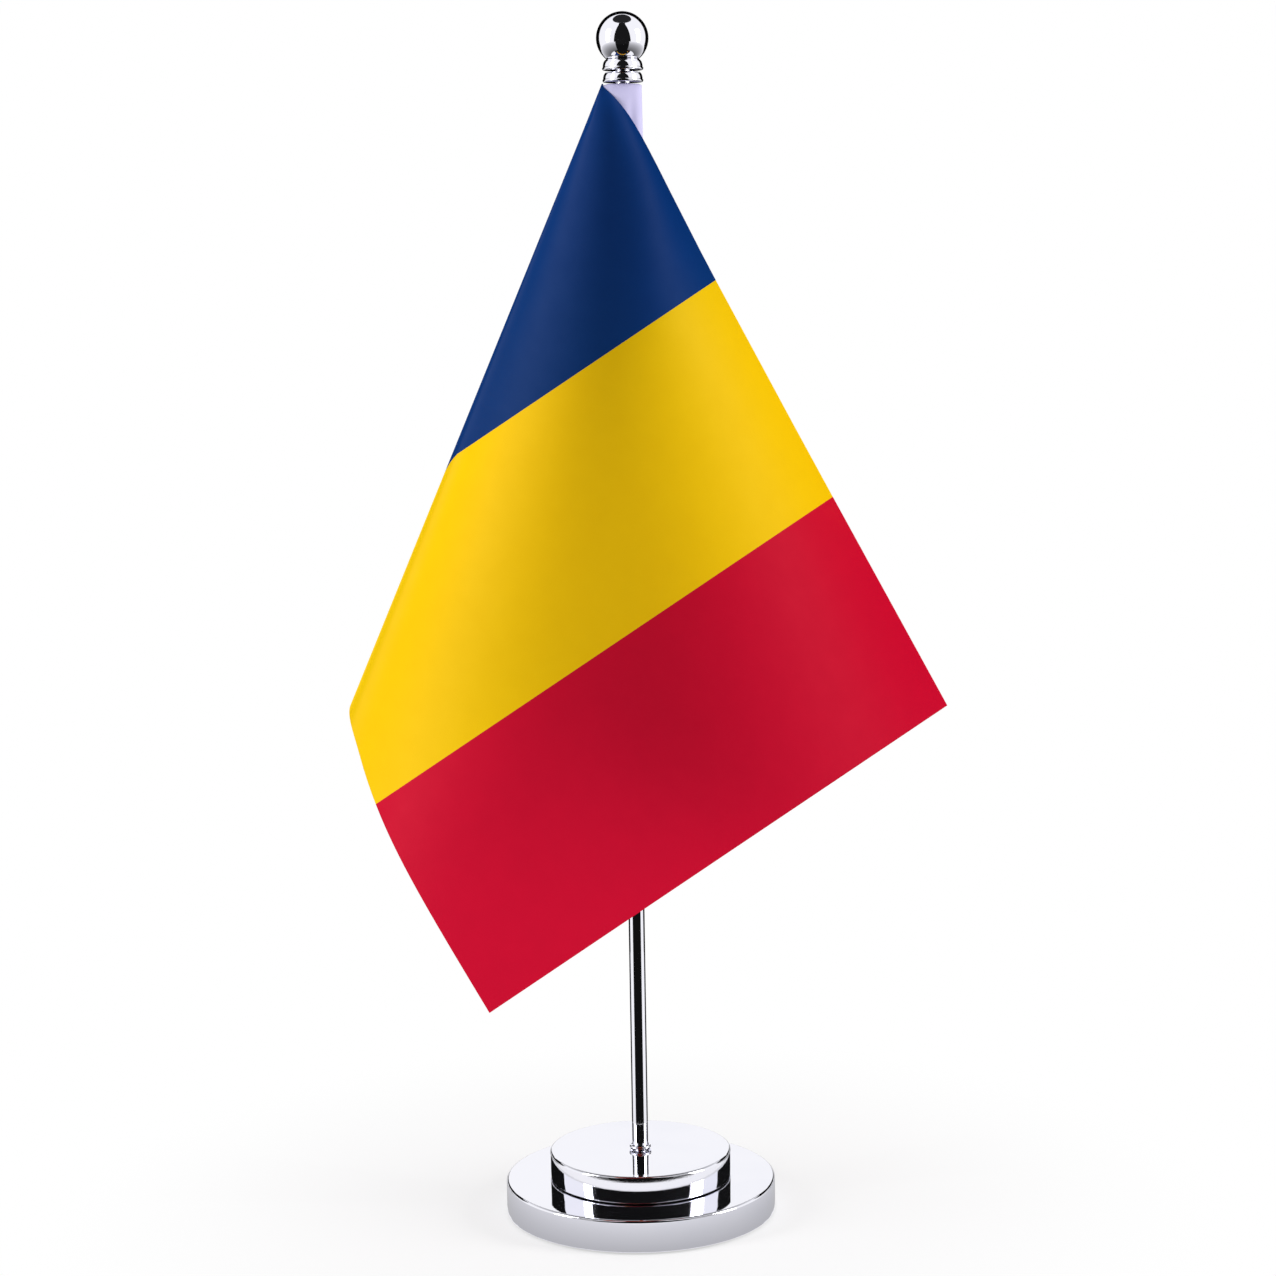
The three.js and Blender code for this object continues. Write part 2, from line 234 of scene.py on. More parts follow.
def card(name, across, along, shape, level):
    """A card that only mirrors see. shape(across, along) gives its points: a wall card bends round the
    pole at a radius, a table card lies flat. level is its brightness at the start and the end of along,
    which for a pair of levels is measured from the pole: 0 is black."""
    material, wire = new_material(name)
    strength = level
    if isinstance(level, tuple):
        place = wire.node("ShaderNodeTexCoord", {}, {}, 3)
        flat = wire.node("ShaderNodeVectorMath", {"operation": "MULTIPLY"}, {0: place, 1: (1, 1, 0)})
        distance = wire.node("ShaderNodeVectorMath", {"operation": "LENGTH"}, {0: flat}, 1)
        span = {"From Min": along[0], "From Max": along[1], "To Min": level[0], "To Max": level[1]}
        strength = wire.node("ShaderNodeMapRange", {}, {0: distance, **span})
    colour = (0.98, 0.98, 1, 1)
    finish_surface(wire, wire.node("ShaderNodeEmission", {}, {"Color": colour, "Strength": strength}))
    a, b = np.meshgrid(np.linspace(*across, 33), np.linspace(*along, 9), indexing="ij")
    piece = new_piece(name, np.stack(shape(a, b), -1), grid_faces(*a.shape), material)
    piece.visible_camera = False
    piece.visible_diffuse = False
    piece.visible_transmission = False
    piece.visible_shadow = False


def wall_card(name, azimuths, heights, radius, level):
    """Part of an upright wall round the pole. Azimuth 0 is in front, in degrees, heights in metres."""

    def shape(a, z):
        return radius * np.sin(np.radians(a)), -radius * np.cos(np.radians(a)), z

    card(name, azimuths, heights, shape, level)


def table_card(name, azimuths, radii, height, level):
    """Part of a flat ring on the table."""

    def shape(a, r):
        return r * np.sin(np.radians(a)), -r * np.cos(np.radians(a)), np.full_like(a, height)

    card(name, azimuths, radii, shape, level)


BASE_WALL = 0.15
BASE_HEIGHTS = (0.03, 0.078)
wall_card("card_base_front", (-60, 60), BASE_HEIGHTS, BASE_WALL, 0.006)
wall_card("card_base_left", (-157, -107), BASE_HEIGHTS, BASE_WALL, 0.006)
wall_card("card_base_right", (107, 157), BASE_HEIGHTS, BASE_WALL, 0.006)
# A grey ring on the table round the foot, darker towards the base, that only mirrors see: painted shade of
# the table beside the base, which the chrome mirrors.
table_card("card_table_foot_painted_shade", (0, 360), (0.0352, 0.0605), 0.0003, (0.5, 0.76))
table_card("card_table_front", (-60, 60), (0.0705, 0.5), 0.0006, 0.006)
table_card("card_table_back", (112, 248), (0.0705, 0.5), 0.0006, 0.02)

BALL_ROOM = 0.7
CEILING = 1.25
BEHIND_BALL = 0.3
BEHIND_MIDDLE = 0.32
BEHIND_FOOT = 0.165
# A grey ring in the air below the ball, darker towards the pole, that only mirrors see: painted shade on
# the ball's lower half.
table_card("card_ball_below_painted_shade", (33, 327), (0.07, 0.3), 0.2, (0.12, 0.9))
table_card("card_ceiling", (0, 360), (0, 0.5), CEILING, 0.02)
table_card("card_ceiling_front", (-22, 22), (0.5, BALL_ROOM), CEILING, 0.012)
table_card("card_table_front_far", (-40, 40), (0.5, BALL_ROOM), 0.0006, 0.01)


def column_shape(a, t):
    """The dark column in front of the ball, which narrows steadily up to the ceiling."""
    angle = np.radians(a * (40 - 18 * t))
    return BALL_ROOM * np.sin(angle), -BALL_ROOM * np.cos(angle), CEILING * t


def behind_shape(a, r):
    """The dark wall behind the ball. Its foot stays above what the base's tops mirror."""
    height = np.maximum(BEHIND_MIDDLE - r * np.cos(np.radians(a)), BEHIND_FOOT)
    return r * np.sin(np.radians(a)), np.full_like(a, BEHIND_BALL), height


card("card_ball_column", (-1, 1), (0, 1), column_shape, 0.01)
card("card_ball_behind", (0, 360), (0, 0.48), behind_shape, 0.002)

# ---- Foot pad --------------------------------------------------------------------------------------
# A disc of black foam rubber glued under the base. It keeps the stand from sliding and scratching.

pad_low, pad_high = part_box("foot_pad")
ROUND_STEPS = 192


def end_fans(rows, steps):
    """Triangles that close a round grid of rings: a fan from the first point after the grid to its first
    ring, and one from the second point after it to its last ring."""
    bottom = rows * steps
    last = bottom - steps
    beside = (np.arange(steps) + 1) % steps
    fans = [(bottom, int(b), i) for i, b in enumerate(beside)]
    return fans + [(bottom + 1, last + i, last + int(b)) for i, b in enumerate(beside)]


def turned(name, profile, material, sharp=35, steps=ROUND_STEPS):
    """A round piece: every (radius, height) point of the profile runs once round Z. The profile goes up
    the outside. Where its ends are on the axis, each end is one point with a fan of triangles, and
    otherwise the profile closes on itself."""
    profile = np.asarray(profile, float)
    capped = profile[0, 0] < 1e-9
    rings = profile[1:-1] if capped else profile
    angle = np.linspace(0, 2 * np.pi, steps, endpoint=False)
    radius, height = rings[:, :1], rings[:, 1:]
    points = np.stack([radius * np.cos(angle), radius * np.sin(angle), height + 0 * angle], -1)
    faces = grid_faces(len(rings), steps, round_rows=not capped, round_columns=True).tolist()
    if capped:
        ends = [[0, 0, profile[0, 1]], [0, 0, profile[-1, 1]]]
        points = np.vstack([points.reshape(-1, 3), ends])
        faces += end_fans(len(rings), steps)
    return new_piece(name, points, faces, material, sharp)


def arc(centre, size, start, end, steps=8):
    """Points of a round from one angle to another, in degrees, about (radius, height)."""
    angle = np.radians(np.linspace(start, end, steps + 1))
    return np.stack([centre[0] + size * np.cos(angle), centre[1] + size * np.sin(angle)], -1)


pad_material, wire = new_material("foam_rubber")
place = wire.node("ShaderNodeTexCoord", {}, {}, 3)
cells = wire.node("ShaderNodeTexVoronoi", {}, {"Vector": place, "Scale": 1400.0})
dust = wire.node("ShaderNodeTexNoise", {}, {"Vector": place, "Scale": 90.0, "Detail": 4.0})
tone = mix_colour(wire, dust * 0.5, (0.012, 0.012, 0.014, 1), (0.045, 0.044, 0.047, 1))
pores = wire.node("ShaderNodeBump", {}, {"Strength": 0.5, "Distance": 0.00015, "Height": cells})
settings = {"Base Color": tone, "Roughness": 0.82 + cells * 0.15, "Normal": pores}
finish_surface(wire, wire.node("ShaderNodeBsdfPrincipled", {}, settings))

pad_edge = 0.35 * MM
foot_pad = turned("foam_foot_pad", [
    (0, 0),
    *arc((pad_high.x - pad_edge, pad_edge), pad_edge, -90, 0),
    *arc((pad_high.x - pad_edge, pad_high.z - pad_edge), pad_edge, 0, 90),
    (0, pad_high.z),
], pad_material)
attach(foot_pad, "base")
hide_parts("foot_pad")

# ---- Weights, captive nut and tier screws ------------------------------------------------------------
# Two iron castings fill the covers. A hexagon nut in the upper one takes the pole's thread, and three
# countersunk screws, zinc plated, hold the tiers together from below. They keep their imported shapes.

iron_material, wire = new_material("cast_iron")
place = wire.node("ShaderNodeTexCoord", {}, {}, 3)
casting_skin = {"Vector": place, "Scale": 1100.0, "Detail": 6.0, "Roughness": 0.65}
grain = wire.node("ShaderNodeTexNoise", {}, casting_skin)
patches = wire.node("ShaderNodeTexNoise", {}, {"Vector": place, "Scale": 85.0, "Detail": 3.0})
tone = mix_colour(wire, patches, (0.035, 0.036, 0.038, 1), (0.085, 0.075, 0.066, 1))
sand = wire.node("ShaderNodeBump", {}, {"Strength": 0.7, "Distance": 0.0003, "Height": grain})
settings = {"Base Color": tone, "Metallic": 0.7, "Roughness": 0.55 + patches * 0.3, "Normal": sand}
finish_surface(wire, wire.node("ShaderNodeBsdfPrincipled", {}, settings))

zinc_material, wire = new_material("zinc_plate")
place = wire.node("ShaderNodeTexCoord", {}, {}, 3)
spangle = wire.node("ShaderNodeTexVoronoi", {}, {"Vector": place, "Scale": 900.0})
marks = wire.node("ShaderNodeTexNoise", {}, {"Vector": place, "Scale": 2400.0, "Detail": 2.0})
tone = mix_colour(wire, spangle, (0.62, 0.64, 0.67, 1), (0.78, 0.78, 0.77, 1))
scratches = wire.node("ShaderNodeBump", {}, {"Strength": 0.2, "Distance": 0.00005, "Height": marks})
settings = {"Base Color": tone, "Metallic": 1.0, "Roughness": 0.22 + marks * 0.2, "Normal": scratches}
finish_surface(wire, wire.node("ShaderNodeBsdfPrincipled", {}, settings))


def refinish(node, material):
    """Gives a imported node, whose shape is right as it is, a finished material."""
    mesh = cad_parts[node].data
    mesh.materials.clear()
    mesh.materials.append(material)


for node in ("base_lower_weight", "base_upper_weight"):
    refinish(node, iron_material)
for node in ("captive_nut", "tier_screw_1", "tier_screw_2", "tier_screw_3"):
    refinish(node, zinc_material)

# ---- Base covers -------------------------------------------------------------------------------------
# Two round caps pressed from sheet steel, polished on a lathe and chromed. Each has a small round at
# its top edge, and its skirt is turned in a little at the foot, where the sheet was trimmed.

SHEET = 0.8 * MM
EDGE = 0.62 * MM
FOOT_ROUND = 0.25 * MM


def chrome(name, tint=(0.90, 0.90, 0.965), lines=0.0):
    """Chrome plate: a mirror with faint smears and very fine pits. Where asked for, polishing lines run
    round Z, because the piece was polished on a lathe."""
    material, wire = new_material(name)
    place = wire.node("ShaderNodeTexCoord", {}, {}, 3)
    smears = wire.node("ShaderNodeTexNoise", {}, {"Vector": place, "Scale": 38.0, "Detail": 5.0})
    haze = wire.node("ShaderNodeMapRange", {}, {0: smears, "From Min": 0.5, "From Max": 0.75})
    pits = wire.node("ShaderNodeTexNoise", {}, {"Vector": place, "Scale": 2600.0, "Detail": 2.0})
    height = pits
    if lines:
        x, y, z = (wire.node("ShaderNodeSeparateXYZ", {}, {0: place}, axis) for axis in range(3))
        radius = (x * x + y * y) ** 0.5
        along = wire.node("ShaderNodeCombineXYZ", {}, {0: radius * 9000.0, 1: z * 9000.0})
        grooves = {"Vector": along, "Scale": 1.0, "Detail": 1.0}
        height = pits + lines * wire.node("ShaderNodeTexNoise", {}, grooves)
    smeared = (tint[0] * 0.93, tint[1] * 0.94, tint[2] * 0.96, 1)
    tone = mix_colour(wire, haze * 0.6, (*tint, 1), smeared)
    relief = wire.node("ShaderNodeBump", {}, {"Strength": 0.035, "Distance": 0.00002, "Height": height})
    settings = {"Base Color": tone, "Metallic": 1.0, "Roughness": 0.03 + haze * 0.05, "Normal": relief}
    finish_surface(wire, wire.node("ShaderNodeBsdfPrincipled", {}, settings))
    return material


turned_chrome = chrome("chrome_on_turned_sheet", lines=1.5)


def pressed_cover(name, node, hole):
    """A cap of even sheet thickness: flat top with a hole, rounded edge, skirt and turned-in foot."""
    low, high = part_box(node)
    radius, bottom, top = high.x, low.z, high.z
    inner_round = 0.2 * MM
    profile = [
        *arc((radius - FOOT_ROUND - SHEET / 3, bottom + FOOT_ROUND), FOOT_ROUND, 200, 270, 4),
        *arc((radius - FOOT_ROUND, bottom + FOOT_ROUND), FOOT_ROUND, -90, 0, 5),
        (radius, bottom + 2.2 * MM),
        *arc((radius - EDGE, top - EDGE), EDGE, 0, 90, 14),
        (radius - 3 * MM, top),
        (radius * 0.5, top),
        *arc((hole + inner_round, top - inner_round), inner_round, 90, 180, 4),
        (hole, top - SHEET),
        (radius * 0.5, top - SHEET),
        *arc((radius - SHEET - inner_round, top - SHEET - inner_round), inner_round, 90, 0, 4),
    ]
    piece = turned(name, profile, turned_chrome, steps=256)
    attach(piece, "base")
    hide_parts(node)


POLE_HOLE = 2.4 * MM
pressed_cover("lower_tier_chrome", "base_lower_cover", POLE_HOLE + 0.2 * MM)
pressed_cover("upper_tier_chrome", "base_upper_cover", POLE_HOLE)

# ---- Foot ring and pole ------------------------------------------------------------------------------
# A small half-round ring sits where the pole enters the base. The pole is a chromed steel rod with an
# M4 thread rolled on each end: the lower one screws into the base, the upper one takes the finial.

small_chrome = chrome("chrome_on_small_pieces")
rod_chrome = chrome("chrome_on_rod", lines=0.6)

ring_low, ring_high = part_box("pole_foot_ring")
ring_size = (ring_high.z - ring_low.z) / 2
ring_bore = 2.35 * MM
foot_ring = turned("foot_ring_chrome", [
    (ring_bore, ring_low.z),
    *arc((ring_high.x - ring_size, ring_low.z + ring_size), ring_size, -90, 90, 14),
    (ring_bore, ring_high.z),
], small_chrome, steps=96)
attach(foot_ring, "foot_ring")
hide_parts("pole_foot_ring")

rod_low, rod_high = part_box("pole_rod")
ROD_RADIUS = rod_high.x
SHANK = (16.6 * MM, 284.9 * MM)
THREAD = {"pitch": 0.7 * MM, "core": 1.6 * MM, "crest": 1.92 * MM}
SHANK_EDGE = 0.1 * MM
TIP = 0.45 * MM
TIP_SHARE = 0.72


def thread_radius(angle, height, start, end):
    """Radius of a thread with flat crests: a clipped triangle wave of the height, which follows the turn.
    It fades out to the core over one pitch at each end."""
    phase = (height / THREAD["pitch"] - angle / (2 * np.pi)) % 1
    wave = np.clip(1.5 - 3.2 * np.abs(phase - 0.5), 0, 1)
    from_start = np.clip((height - start) / THREAD["pitch"], 0, 1)
    to_end = np.clip((end - height) / THREAD["pitch"], 0, 1)
    return THREAD["core"] + (THREAD["crest"] - THREAD["core"]) * wave * from_start * to_end


def rod_surface(steps=64, rings_per_pitch=12):
    """The pole as a round grid: threaded ends, plain shank, rounded tips, one point at each end."""
    angle = np.linspace(0, 2 * np.pi, steps, endpoint=False)
    step = THREAD["pitch"] / rings_per_pitch
    rows = []
    for start, end in ((rod_low.z + TIP, SHANK[0]), (SHANK[1], rod_high.z - TIP)):
        heights = np.arange(start, end, step)
        radii = [thread_radius(angle, z, start, end) for z in heights]
        rows.append([(np.full(steps, z), r) for z, r in zip(heights, radii)])

    def ring(height, radius):
        return np.full(steps, height), np.full(steps, radius)

    core = THREAD["core"]
    plain = np.linspace(SHANK[0] + SHANK_EDGE, SHANK[1] - SHANK_EDGE, 60)
    shank = [
        ring(SHANK[0], core),
        ring(SHANK[0], ROD_RADIUS - SHANK_EDGE),
        *[ring(height, ROD_RADIUS) for height in plain],
        ring(SHANK[1], ROD_RADIUS - SHANK_EDGE),
        ring(SHANK[1], core),
    ]
    foot = [ring(rod_low.z, core * TIP_SHARE)]
    head = [ring(rod_high.z - TIP, core), ring(rod_high.z, core * TIP_SHARE)]
    grid = foot + rows[0] + shank + rows[1] + head
    height = np.array([row[0] for row in grid])
    radius = np.array([row[1] for row in grid])
    points = np.stack([radius * np.cos(angle), radius * np.sin(angle), height], -1).reshape(-1, 3)
    faces = grid_faces(len(grid), steps, round_columns=True).tolist() + end_fans(len(grid), steps)
    return np.vstack([points, [0, 0, rod_low.z], [0, 0, rod_high.z]]), faces


rod = new_piece("pole_chrome", *rod_surface(), rod_chrome, sharp=40)
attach(rod, "pole")
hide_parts("pole_rod")

# ---- Finial ------------------------------------------------------------------------------------------
# A loose collar, a tapped neck and a hollow ball, all chromed. Collar and neck are turned with a narrow
# shoulder above a flared lip, so that two bright beads show under the ball.

THREAD_BORE = 1.95 * MM


def flared_bead(low, high, shoulder):
    """The outside of a bead, from its foot up: a round lip at full radius, then a hollow flare in to the
    shoulder's radius. low and high are the bead's corners."""
    radius, bottom, top = high.x, low.z, high.z
    lip = 0.42 * MM
    outside = arc((radius - lip, bottom + lip), lip, -90, 55, 10)
    start = outside[-1]
    t = np.linspace(0, 1, 10)[1:, None]
    end = np.array([shoulder, top - 0.15 * MM])
    bulge = np.array([radius - 0.15 * MM, bottom + 0.72 * (top - bottom)])
    flare = (1 - t) ** 2 * start + 2 * t * (1 - t) * bulge + t ** 2 * end
    return [*outside, *flare, (shoulder - 0.2 * MM, top)]


collar_low, collar_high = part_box("finial_collar")
collar = turned("finial_collar_chrome", [
    (THREAD_BORE, collar_low.z),
    *flared_bead(collar_low, collar_high, 4.35 * MM),
    (THREAD_BORE, collar_high.z),
], small_chrome, steps=160)
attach(collar, "collar")
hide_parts("finial_collar")

neck_low, neck_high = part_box("finial_neck")
BALL_MOUTH = 3.2 * MM
neck_seat = neck_high.z - 0.9 * MM
neck = turned("finial_neck_chrome", [
    (THREAD_BORE, neck_low.z),
    *flared_bead(neck_low, neck_high, 4.3 * MM),
    (BALL_MOUTH, neck_seat),
    (THREAD_BORE, neck_seat),
], small_chrome, steps=160)
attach(neck, "finial")
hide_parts("finial_neck")

ball_low, ball_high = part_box("finial_ball")
ball_radius = ball_high.x
ball_middle = ball_high.z - ball_radius
BALL_WALL = 0.8 * MM
inner_radius = ball_radius - BALL_WALL
outer_mouth = -math.degrees(math.acos(BALL_MOUTH / ball_radius))
inner_mouth = -math.degrees(math.acos(BALL_MOUTH / inner_radius))


def ball_surface(steps=192):
    """A hollow ball with a round mouth below: the outer sphere from the mouth to the top pole, and the
    inner sphere from its own top pole back to the mouth. The two are joined along the mouth."""
    angle = np.linspace(0, 2 * np.pi, steps, endpoint=False)
    beside = (np.arange(steps) + 1) % steps
    outer = arc((0, ball_middle), ball_radius, outer_mouth, 89, 72)
    inner = arc((0, ball_middle), inner_radius, 88, inner_mouth, 36)
    points, faces, base = [], [], 0
    for rings, pole, flip in ((outer, ball_radius, False), (inner, inner_radius, True)):
        r, z = rings[:, :1], rings[:, 1:]
        points.append(np.stack([r * np.cos(angle), r * np.sin(angle), z + 0 * angle], -1).reshape(-1, 3))
        faces += (base + grid_faces(len(rings), steps, round_columns=True)).tolist()
        edge = base if flip else base + (len(rings) - 1) * steps
        tip = base + len(rings) * steps
        points.append([[0, 0, ball_middle + pole]])
        pairs = [(edge + i, edge + int(b)) for i, b in enumerate(beside)]
        faces += [(tip, b, a) if flip else (tip, a, b) for a, b in pairs]
        base = tip + 1
    inner_mouth_row = base - 1 - steps
    faces += [(inner_mouth_row + i, inner_mouth_row + int(b), int(b), i) for i, b in enumerate(beside)]
    return np.vstack(points), faces


ball = new_piece("finial_ball_chrome", *ball_surface(), small_chrome, sharp=40)
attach(ball, "finial")
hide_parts("finial_ball")

# ---- Sleeve ------------------------------------------------------------------------------------------
# A strip of white satin folded round the pole and sewn to the flag's hoist. Its top is closed round the
# pole's shoulder, and its loose side falls in soft upright gathers.

sleeve_low, sleeve_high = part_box("flag_sleeve")
SLEEVE = {"half_width": 4.9 * MM, "half_depth": 2.9 * MM, "wall": 0.3 * MM, "turn": math.radians(14)}
SLEEVE_GIRTH = 0.0245


def satin(name, colour, deep, threads=4200.0, roughness=0.4):
    """Satin: fine ribs of floating threads along the flat cloth, tied down at staggered points, a slow
    change of tone and a soft sheen. The UV map holds the flat cloth in metres."""
    material, wire = new_material(name)
    flat = wire.node("ShaderNodeUVMap", {"uv_map": "flat_cloth"})
    u = wire.node("ShaderNodeSeparateXYZ", {}, {0: flat}, 0) * threads
    v = wire.node("ShaderNodeSeparateXYZ", {}, {0: flat}, 1) * threads
    row = wire.math("FLOOR", v)
    rib = wire.math("SINE", (v - row) * math.pi)
    tie = wire.math("FRACT", (u + row * 3.0) / 8.0)
    knot = wire.node("ShaderNodeMapRange", {}, {0: wire.math("ABSOLUTE", tie - 0.5), "From Max": 0.12})
    weave = rib * knot
    slubs = wire.node("ShaderNodeTexNoise", {}, {"Vector": flat, "Scale": 160.0, "Detail": 5.0})
    tone = mix_colour(wire, slubs, (*colour, 1), (*deep, 1))
    height = weave + slubs * 1.5
    relief = wire.node("ShaderNodeBump", {}, {"Strength": 0.16, "Distance": 0.00006, "Height": height})
    settings = {
        "Base Color": tone,
        "Roughness": roughness + slubs * 0.12,
        "Specular IOR Level": 0.05,
        "Normal": relief,
    }
    finish_surface(wire, wire.node("ShaderNodeBsdfPrincipled", {}, settings))
    return material


def lay_flat(piece, coordinates):
    """Stores each point's place on the flat cloth, in metres, as the UV map flat_cloth."""
    layer = piece.data.uv_layers.new(name="flat_cloth")
    corners = np.empty(len(piece.data.loops), int)
    piece.data.loops.foreach_get("vertex_index", corners)
    layer.data.foreach_set("uv", np.asarray(coordinates, np.float32)[corners].ravel())


def sleeve_surface(around=160, rows=140):
    """Points (angle, height) on an oval tube: an outer wall up, a closed top in to the thread, and an
    inner wall down. Gathers are sines round the oval whose phase drifts with height, and a bell curve
    draws the satin out to the seam."""
    angle = np.linspace(0, 2 * np.pi, around, endpoint=False)
    z = np.linspace(sleeve_low.z, sleeve_high.z - 0.35 * MM, rows)
    share = (z - z[0]) / (z[-1] - z[0])
    drift = 1.3 * np.sin(5.0 * share) + 0.7 * np.sin(11.0 * share + 1.0)
    fade = np.clip(np.minimum(share, 1 - share) * 12, 0.15, 1)
    a, s = np.meshgrid(angle, share)
    gather = 0.24 * np.sin(5 * a + drift[:, None]) + 0.10 * np.sin(9 * a - 1.7 * drift[:, None])
    gather = gather + 0.06 * np.sin(14 * a + 30 * s) * np.sin(np.pi * s)
    seam = 0.5 * np.exp(-((a - math.radians(189)) / 0.22) ** 2)
    gather = (gather * fade[:, None] + seam) * MM
    wide, deep, wall = SLEEVE["half_width"] - 0.2 * MM, SLEEVE["half_depth"] - 0.2 * MM, SLEEVE["wall"]

    def wall_points(shrink):
        x = (wide - shrink + gather) * np.cos(a)
        y = (deep - shrink + gather) * np.sin(a)
        return np.stack([x, y, z[:, None] + 0 * x], -1)

    outer, inner = wall_points(0), wall_points(wall)[::-1]
    closing = []
    for t in (0.12, 0.3, 0.5, 0.7, 0.85, 1.0):
        x = (wide * (1 - t) + THREAD_BORE * 1.02 * t) * np.cos(angle)
        y = (deep * (1 - t) + THREAD_BORE * 1.02 * t) * np.sin(angle)
        lift = 0.33 * MM * math.sin(math.pi / 2 * min(1, t * 3))
        closing.append(np.stack([x, y, np.full(around, z[-1] + lift)], -1))
    under = [row - [0, 0, wall * 0.7] for row in closing[::-1][:-1]]
    grid = np.concatenate([outer, closing, under, inner])
    cosine, sine = math.cos(SLEEVE["turn"]), math.sin(SLEEVE["turn"])
    x, y, height = grid[..., 0], grid[..., 1], grid[..., 2]
    points = np.stack([x * cosine - y * sine, x * sine + y * cosine, height], -1)
    round_pole = np.broadcast_to(angle / (2 * np.pi) * SLEEVE_GIRTH, grid.shape[:2])
    return points, np.stack([round_pole, height], -1)


white_satin = satin("white_satin", (0.66, 0.63, 0.86), (0.52, 0.49, 0.76))
sleeve_points, sleeve_flat = sleeve_surface()
sleeve_faces = grid_faces(*sleeve_points.shape[:2], round_rows=True, round_columns=True)
sleeve = new_piece("sleeve_satin", sleeve_points, sleeve_faces, white_satin, sharp=60)
lay_flat(sleeve, sleeve_flat.reshape(-1, 2))
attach(sleeve, "flag")
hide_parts("flag_sleeve")

# ---- Stitches ----------------------------------------------------------------------------------------
# A lockstitch of white polyester thread joins sleeve and cloth along the hoist.

stitch_low, stitch_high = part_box("sleeve_stitching")
STITCH = {"length": 1.9 * MM, "pitch": 2.4 * MM, "radius": 0.15 * MM}


def stitch_row(centre, bottom, top):
    """One mesh of short threads along an upright line. Each is a tube of six-sided rings whose radius is
    that of the thread times the root of 1 - t squared, so it dives in at both ends, with a slight lean."""
    count = int((top - bottom) / STITCH["pitch"])
    t = np.linspace(-0.97, 0.97, 7)
    around = np.linspace(0, 2 * np.pi, 6, endpoint=False)
    points, faces = [], []
    for k in range(count):
        middle = bottom + (k + 0.5) * STITCH["pitch"]
        thick = STITCH["radius"] * np.sqrt(1 - t ** 2)[:, None]
        x = centre[0] + thick * np.cos(around) + 0.05 * MM * t[:, None]
        y = centre[1] + thick * np.sin(around) - 0.10 * MM * (t[:, None] ** 2)
        z = np.broadcast_to(middle + STITCH["length"] / 2 * t[:, None], x.shape)
        start = len(points) * t.size * around.size
        points.append(np.stack([x, y, z], -1).reshape(-1, 3))
        faces += (start + grid_faces(t.size, around.size, round_columns=True)).tolist()
        faces.append([start + i for i in range(around.size)][::-1])
        faces.append([start + (t.size - 1) * around.size + i for i in range(around.size)])
    return np.vstack(points), faces


thread_material, wire = new_material("white_thread")
place = wire.node("ShaderNodeTexCoord", {}, {}, 3)
twist = wire.node("ShaderNodeTexWave", {}, {"Vector": place, "Scale": 900.0, "Distortion": 1.0})
settings = {
    "Base Color": mix_colour(wire, twist, (0.74, 0.73, 0.83, 1), (0.86, 0.85, 0.93, 1)),
    "Roughness": 0.5 + twist * 0.2,
    "Normal": wire.node("ShaderNodeBump", {}, {"Strength": 0.3, "Distance": 0.00004, "Height": twist}),
}
finish_surface(wire, wire.node("ShaderNodeBsdfPrincipled", {}, settings))

stitch_centre = (stitch_low + stitch_high) / 2
stitches = new_piece(
    "seam_stitches", *stitch_row(stitch_centre, stitch_low.z, stitch_high.z), thread_material)
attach(stitches, "flag")
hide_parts("sleeve_stitching")

# ---- Cloth -------------------------------------------------------------------------------------------
# One piece of satin dyed in three upright bands. It hangs from the top corner of its hoist, so it lies
# as a cone: straight lines run down from that corner, and one sharp fold turns the cloth forwards.

HOIST = 0.140
CLOTH_THICKNESS = 0.16 * MM
BAND_EDGES = (0.0, 59.5 * MM, 121.2 * MM, 177.5 * MM)
APEX = np.array([-4.85, -1.7, 286.3]) * MM
APEX_LIFT = APEX[2] - sleeve_high.z
LONGEST_LINE = 0.34
SEAM_HEADING = math.radians(213)
# Each stretch of the cone is a sweep in degrees and how hard it bends: the second one is the fold.
STRETCHES = ((33.2, -0.9), (2.4, -74.0), (10.0, 3.7), (19.0, 1.05), (25.4, 2.9))
FOLD_END = math.radians(STRETCHES[0][0] + STRETCHES[1][0])
ROLL = math.radians(2.4)
FOOT = HOIST + APEX_LIFT
HOLLOW = {"depth": 2.8 * MM, "place": 18 * MM, "spread": 0.1}
EDGE_SLOPE = math.radians(33.9)


def turn_about(axis, vectors, angle):
    """Vectors turned about a unit axis, by one angle or by an array of angles."""
    c, s = np.cos(angle)[..., None], np.sin(angle)[..., None]
    along = (vectors @ axis)[..., None] * axis
    return vectors * c + np.cross(axis, vectors) * s + along * (1 - c)


def cone_lines(sweep):
    """Directions of the cloth's straight lines and its face normals at sweep angles from the seam.
    Within a stretch, line and face turn about the fixed axis face + bend x line."""
    line = np.array([0.0, 0.0, -1.0])
    face = np.cross(line, [math.cos(SEAM_HEADING), math.sin(SEAM_HEADING), 0.0])
    lines, faces = np.zeros((len(sweep), 3)), np.zeros((len(sweep), 3))
    start = 0.0
    for degrees, bend in STRETCHES:
        width = math.radians(degrees)
        axis = face + bend * line
        speed = np.linalg.norm(axis)
        axis = axis / speed
        inside = (sweep >= start) & (sweep <= start + width + 1e-9)
        amount = speed * (sweep[inside] - start)
        lines[inside] = turn_about(axis, line, amount)
        faces[inside] = turn_about(axis, face, amount)
        line = turn_about(axis, line, np.array(speed * width))
        face = turn_about(axis, face, np.array(speed * width))
        start += width
    return lines, faces


def rolled_lines(sweep):
    """The cone's lines with the bend rounded off: each is the mean of the lines around it, over a span
    that fades away at both ends of the cloth."""
    span = ROLL * np.sin(2 * np.clip(sweep, 0, math.pi / 2))
    shifts = (-1, -0.6, -0.3, 0, 0.3, 0.6, 1)
    lines, faces = zip(*[cone_lines(sweep + shift * span) for shift in shifts])
    return sum(lines) / len(shifts), sum(faces) / len(shifts)


